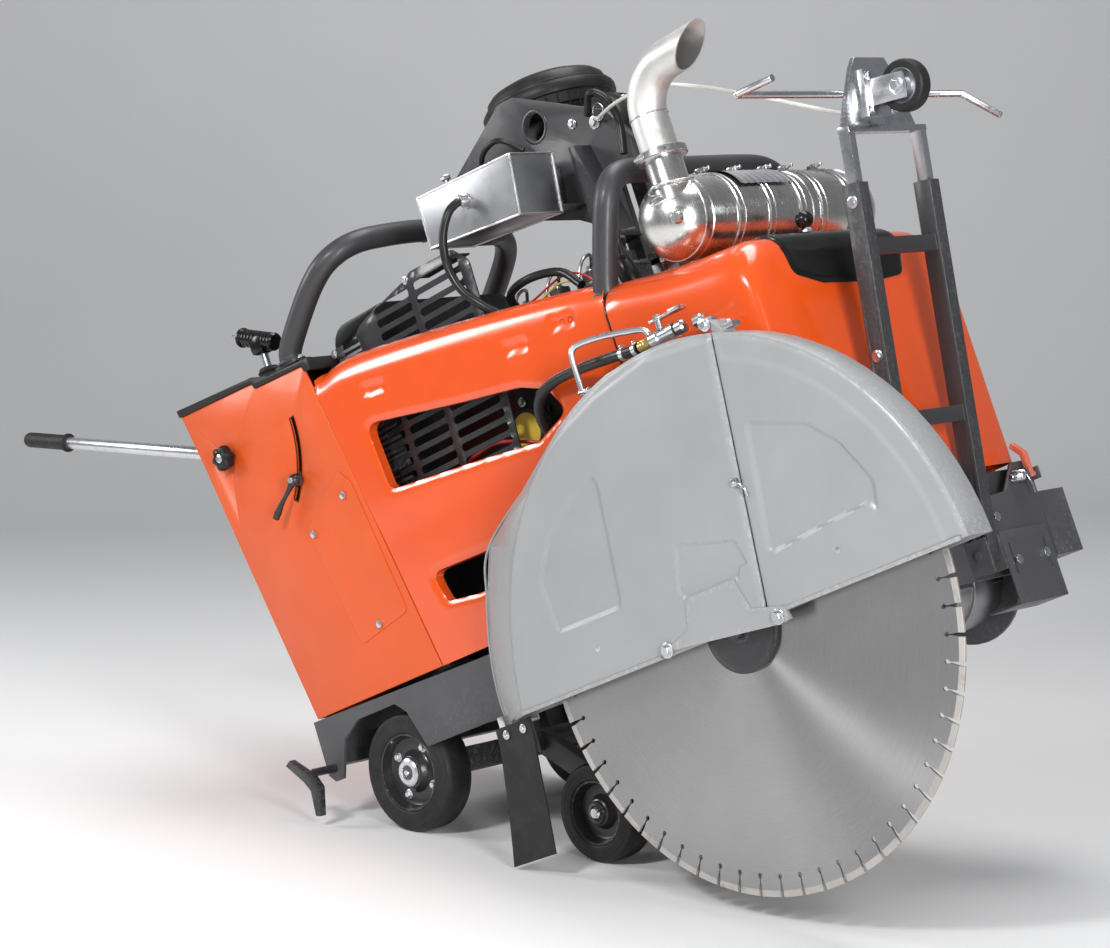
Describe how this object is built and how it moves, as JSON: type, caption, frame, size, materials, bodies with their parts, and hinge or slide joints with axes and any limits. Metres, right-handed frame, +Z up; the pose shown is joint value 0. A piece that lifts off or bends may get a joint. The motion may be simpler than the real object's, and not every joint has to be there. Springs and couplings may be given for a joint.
{
  "type": "walk-behind concrete saw",
  "caption": "Self-propelled walk-behind saw for cutting concrete, with a guarded diamond blade, raised nose, rear console, handles and pointers.",
  "frame": {"origin": "centre of the bounding box on the floor that the four wheels stand on", "axes": "+X forward, the way it cuts; +Y to the machine's left; +Z up"},
  "size_m": [2.8551, 0.845, 1.6695],
  "materials": {
    "frame_paint": "dark grey satin powder coat",
    "orange_paint": "gloss orange paint on pressed steel",
    "orange_plastic": "gloss orange moulded cowl",
    "guard_paint": "light grey powder coat",
    "black_plastic": "black moulded plastic, fine grain",
    "black_paint": "black semi-gloss paint",
    "cast_engine": "dark painted casting",
    "cast_spindle": "machined grey casting",
    "hoop_paint": "dark grey powder coat",
    "aluminium": "brushed welded sheet",
    "stainless": "brushed stainless with heat tint",
    "zinc": "bright zinc plate",
    "blade_steel": "ground blade steel",
    "rubber": "matt black rubber",
    "tyre": "solid black rubber",
    "rope": "twisted pale cord",
    "latch_paint": "chipped orange paint over zinc"
  },
  "bodies": {
    "chassis": {"main_frame": "frame_paint", "front_plate": "frame_paint", "console_shell": "orange_paint", "console_tray": "black_plastic", "access_panel": "orange_paint", "cowl_right": "orange_plastic", "cowl_left": "orange_plastic", "front_hood": "orange_plastic", "hood_inset": "black_plastic", "radiator_grille": "black_paint", "radiator": "black_paint", "engine_block": "cast_engine", "air_cleaner": "black_plastic", "precleaner": "black_plastic", "lift_plate": "frame_paint", "rear_hoop": "hoop_paint", "front_hoop": "hoop_paint", "coolant_tank": "aluminium", "coolant_hose": "rubber", "muffler": "stainless", "exhaust_clamps": "zinc", "exhaust_elbow": "stainless", "spindle_housing": "cast_spindle", "guard_rear": "guard_paint", "guard_bail": "zinc", "water_valve": "zinc", "water_hose": "rubber", "splash_flap": "rubber", "drive_belts": "rubber", "battery_box": "black_plastic", "panel_bolts": "zinc", "pointer_rope": "rope"},
    "handle_yoke": {"handle_yoke": "zinc"},
    "right_handle": {"right_handle": "zinc", "right_grip": "rubber"},
    "left_handle": {"left_handle": "zinc", "left_grip": "rubber"},
    "pivot_knob": {"pivot_knob": "black_plastic"},
    "ratchet_lever": {"ratchet_lever": "black_plastic"},
    "speed_lever": {"speed_lever": "black_plastic"},
    "lift_switch": {"lift_switch": "zinc"},
    "guard_front": {"guard_front": "guard_paint"},
    "blade_spindle": {"blade": "blade_steel", "blade_flanges": "black_paint", "blade_shaft": "blade_steel"},
    "drive_pulley": {"drive_pulley": "cast_spindle"},
    "rear_wheel_right": {"rear_wheel_right": "tyre"},
    "rear_wheel_left": {"rear_wheel_left": "tyre"},
    "front_wheel_right": {"front_wheel_right": "tyre"},
    "front_wheel_left": {"front_wheel_left": "tyre"},
    "lift_frame": {"lift_frame": "frame_paint"},
    "lift_barrel": {"lift_barrel": "black_paint"},
    "lift_rod": {"lift_rod": "zinc"},
    "pointer_ladder": {"pointer_ladder": "frame_paint"},
    "pointer_head": {"pointer_head": "zinc"},
    "caster_wheel": {"caster_wheel": "tyre"},
    "pointer_rod": {"pointer_rod": "zinc"},
    "hood_latch": {"hood_latch": "latch_paint"},
    "shift_lever": {"shift_lever": "zinc"},
    "rear_pointer": {"rear_pointer": "black_paint"}
  },
  "joints": [
    {"name": "handle_tilt", "type": "hinge", "parent": "chassis", "child": "handle_yoke", "pos_m": [-0.64848, 0.0125, 0.76547], "axis": [0, 1, 0], "range_deg": [-30.4, 9.3]},
    {"name": "right_handle_slide", "type": "slide", "parent": "handle_yoke", "child": "right_handle", "axis": [-1, 0, -0.0073], "range_m": [-0.3, 0]},
    {"name": "left_handle_slide", "type": "slide", "parent": "handle_yoke", "child": "left_handle", "axis": [-1, 0, -0.0073], "range_m": [-0.3, 0]},
    {"name": "pivot_knob_turn", "type": "hinge", "parent": "handle_yoke", "child": "pivot_knob", "pos_m": [-0.64848, -0.3125, 0.76547], "axis": [0, 1, 0], "range_deg": [-180, 180]},
    {"name": "ratchet_lever_turn", "type": "hinge", "parent": "handle_yoke", "child": "ratchet_lever", "pos_m": [-0.41588, -0.3075, 0.73202], "axis": [0, 1, 0], "range_deg": [-80, 100]},
    {"name": "speed_lever_tilt", "type": "hinge", "parent": "chassis", "child": "speed_lever", "pos_m": [-0.62672, -0.1875, 0.93963], "axis": [0, 1, 0], "range_deg": [-18, 18]},
    {"name": "lift_switch_tilt", "type": "hinge", "parent": "speed_lever", "child": "lift_switch", "pos_m": [-0.72952, -0.1875, 1.02165], "axis": [0, 1, 0], "range_deg": [-15, 15], "stiffness_Nm_per_rad": 0.05},
    {"name": "guard_front_flip", "type": "hinge", "parent": "chassis", "child": "guard_front", "pos_m": [0.84134, -0.3875, 1.10606], "axis": [0, 1, 0], "range_deg": [-85, 0]},
    {"name": "blade_spin", "type": "hinge", "parent": "chassis", "child": "blade_spindle", "pos_m": [0.8955, 0.0125, 0.55028], "axis": [0, 1, 0], "continuous": true},
    {"name": "drive_pulley_spin", "type": "hinge", "parent": "chassis", "child": "drive_pulley", "pos_m": [0.37265, 0.1125, 0.6932], "axis": [0, 1, 0], "continuous": true},
    {"name": "rear_wheel_right_spin", "type": "hinge", "parent": "chassis", "child": "rear_wheel_right", "pos_m": [-0.11443, -0.2495, 0.127], "axis": [0, 1, 0], "continuous": true},
    {"name": "rear_wheel_left_spin", "type": "hinge", "parent": "chassis", "child": "rear_wheel_left", "pos_m": [-0.11443, 0.2745, 0.127], "axis": [0, 1, 0], "continuous": true},
    {"name": "front_axle_lift", "type": "hinge", "parent": "chassis", "child": "lift_frame", "pos_m": [0.11994, 0.0125, 0.20112], "axis": [0, 1, 0], "range_deg": [-42, 0]},
    {"name": "front_wheel_right_spin", "type": "hinge", "parent": "lift_frame", "child": "front_wheel_right", "pos_m": [0.37879, -0.1995, 0.1016], "axis": [0, 1, 0], "continuous": true},
    {"name": "front_wheel_left_spin", "type": "hinge", "parent": "lift_frame", "child": "front_wheel_left", "pos_m": [0.37879, 0.2245, 0.1016], "axis": [0, 1, 0], "continuous": true},
    {"name": "lift_barrel_pivot", "type": "hinge", "parent": "chassis", "child": "lift_barrel", "pos_m": [-0.25134, 0.0125, 0.18451], "axis": [0, 1, 0], "range_deg": [-0.2, 1.09]},
    {"name": "lift_rod_slide", "type": "slide", "parent": "lift_barrel", "child": "lift_rod", "axis": [0.9456, 0, 0.3252], "range_m": [-0.07925, 0.0005]},
    {"name": "pointer_fold", "type": "hinge", "parent": "chassis", "child": "pointer_ladder", "pos_m": [1.08239, 0.0125, 0.64281], "axis": [0, 1, 0], "range_deg": [0, 100], "deforming": ["pointer_rope"]},
    {"name": "pointer_head_slide", "type": "slide", "parent": "pointer_ladder", "child": "pointer_head", "axis": [-0.1894, 0, 0.9819], "range_m": [-0.09, 0.1]},
    {"name": "caster_wheel_spin", "type": "hinge", "parent": "pointer_head", "child": "caster_wheel", "pos_m": [0.98164, 0.0125, 1.53487], "axis": [0, 1, 0], "continuous": true},
    {"name": "pointer_rod_slide", "type": "slide", "parent": "pointer_head", "child": "pointer_rod", "axis": [0, 1, 0], "range_m": [-0.05, 0.05]},
    {"name": "hood_latch_turn", "type": "hinge", "parent": "chassis", "child": "hood_latch", "pos_m": [1.05912, 0.3015, 0.77913], "axis": [0, 1, 0], "range_deg": [0, 45], "stiffness_Nm_per_rad": 0.5},
    {"name": "shift_lever_tilt", "type": "hinge", "parent": "chassis", "child": "shift_lever", "pos_m": [0.76849, 0.0045, 1.21565], "axis": [0, 1, 0], "range_deg": [-12, 12]},
    {"name": "rear_pointer_fold", "type": "hinge", "parent": "chassis", "child": "rear_pointer", "pos_m": [-0.32917, -0.3275, 0.11059], "axis": [0, 1, 0], "range_deg": [0, 100]}
  ],
  "couplings": [
    {"joint": "lift_barrel_pivot", "follows": "front_axle_lift", "ratio": -0.02114},
    {"joint": "lift_rod_slide", "follows": "front_axle_lift", "m_per_rad": 0.10744},
    {"joint": "drive_pulley_spin", "follows": "blade_spin", "ratio": 0.6}
  ]
}
